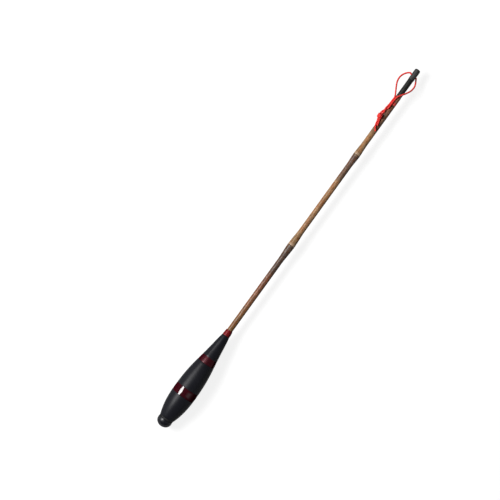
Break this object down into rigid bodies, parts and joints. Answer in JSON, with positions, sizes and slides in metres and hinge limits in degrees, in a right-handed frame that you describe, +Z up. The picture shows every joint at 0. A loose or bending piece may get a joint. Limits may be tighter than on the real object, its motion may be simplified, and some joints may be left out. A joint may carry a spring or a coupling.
{
  "type": "tanago rod",
  "caption": "Short telescopic fishing rod, closed: black spindle grip with red windings, bamboo-pattern tube, and a front plug with a red keeper cord.",
  "frame": {"origin": "on the surface the rod lies on, under the middle of its closed length", "axes": "+X along the rod from the butt to the front plug, +Z up"},
  "size_m": [0.2886, 0.0164, 0.0165],
  "materials": {
    "grip_lacquer": "satin black lacquer over turned wood",
    "winding_red": "thread winding under clear dark red lacquer, high gloss",
    "winding_bright_red": "thread winding under clear red lacquer, high gloss",
    "bush_brass": "turned",
    "bamboo_finish": "glass-fibre tube with a mottled bamboo pattern, semi-gloss",
    "black_rubber": "matte",
    "knob_black": "semi-gloss black",
    "blank_black": "black fibre blank, semi-gloss",
    "tip_glass": "solid glass-fibre tip",
    "plug_black": "smooth black",
    "head_grey_black": "worn grey black, slightly rough",
    "red_braid": "braided cord"
  },
  "bodies": {
    "handle": {"grip": "grip_lacquer", "winding_rear": "winding_red", "winding_middle": "winding_red", "winding_front": "winding_bright_red", "butt_bush": "bush_brass", "butt_section": "bamboo_finish"},
    "gasket_ring": {"gasket": "black_rubber"},
    "butt_plug_unit": {"butt_plug": "knob_black", "rattle_pad": "black_rubber"},
    "second_section_tube": {"second_section": "blank_black"},
    "third_section_tube": {"third_section": "blank_black"},
    "tip_unit": {"tip_section": "tip_glass", "lilian_sleeve": "black_rubber", "lilian": "red_braid"},
    "front_plug_unit": {"plug_stem": "plug_black", "plug_head": "head_grey_black", "keeper_strand_left": "red_braid", "keeper_strand_right": "red_braid", "keeper_knot": "red_braid", "keeper_tail_left": "red_braid", "keeper_tail_right": "red_braid"}
  },
  "joints": [
    {"name": "butt_plug_travel", "type": "slide", "parent": "handle", "child": "gasket_ring", "axis": [-1, 0, 0], "range_m": [0, 0.0064]},
    {"name": "butt_plug_turn", "type": "hinge", "parent": "gasket_ring", "child": "butt_plug_unit", "pos_m": [-0.1388, 0, 0.00823], "axis": [-1, 0, 0], "range_deg": [0, 2880.1]},
    {"name": "second_section_slide", "type": "slide", "parent": "handle", "child": "second_section_tube", "axis": [1, 0, 0], "range_m": [0, 0.226]},
    {"name": "third_section_slide", "type": "slide", "parent": "second_section_tube", "child": "third_section_tube", "axis": [1, 0, 0], "range_m": [0, 0.2177]},
    {"name": "tip_section_slide", "type": "slide", "parent": "third_section_tube", "child": "tip_unit", "axis": [1, 0, 0], "range_m": [0, 0.2167]},
    {"name": "front_plug_pull", "type": "slide", "parent": "tip_unit", "child": "front_plug_unit", "axis": [1, 0, 0], "range_m": [0, 0.012]}
  ],
  "couplings": [
    {"joint": "butt_plug_turn", "follows": "butt_plug_travel", "rad_per_m": 7854}
  ]
}
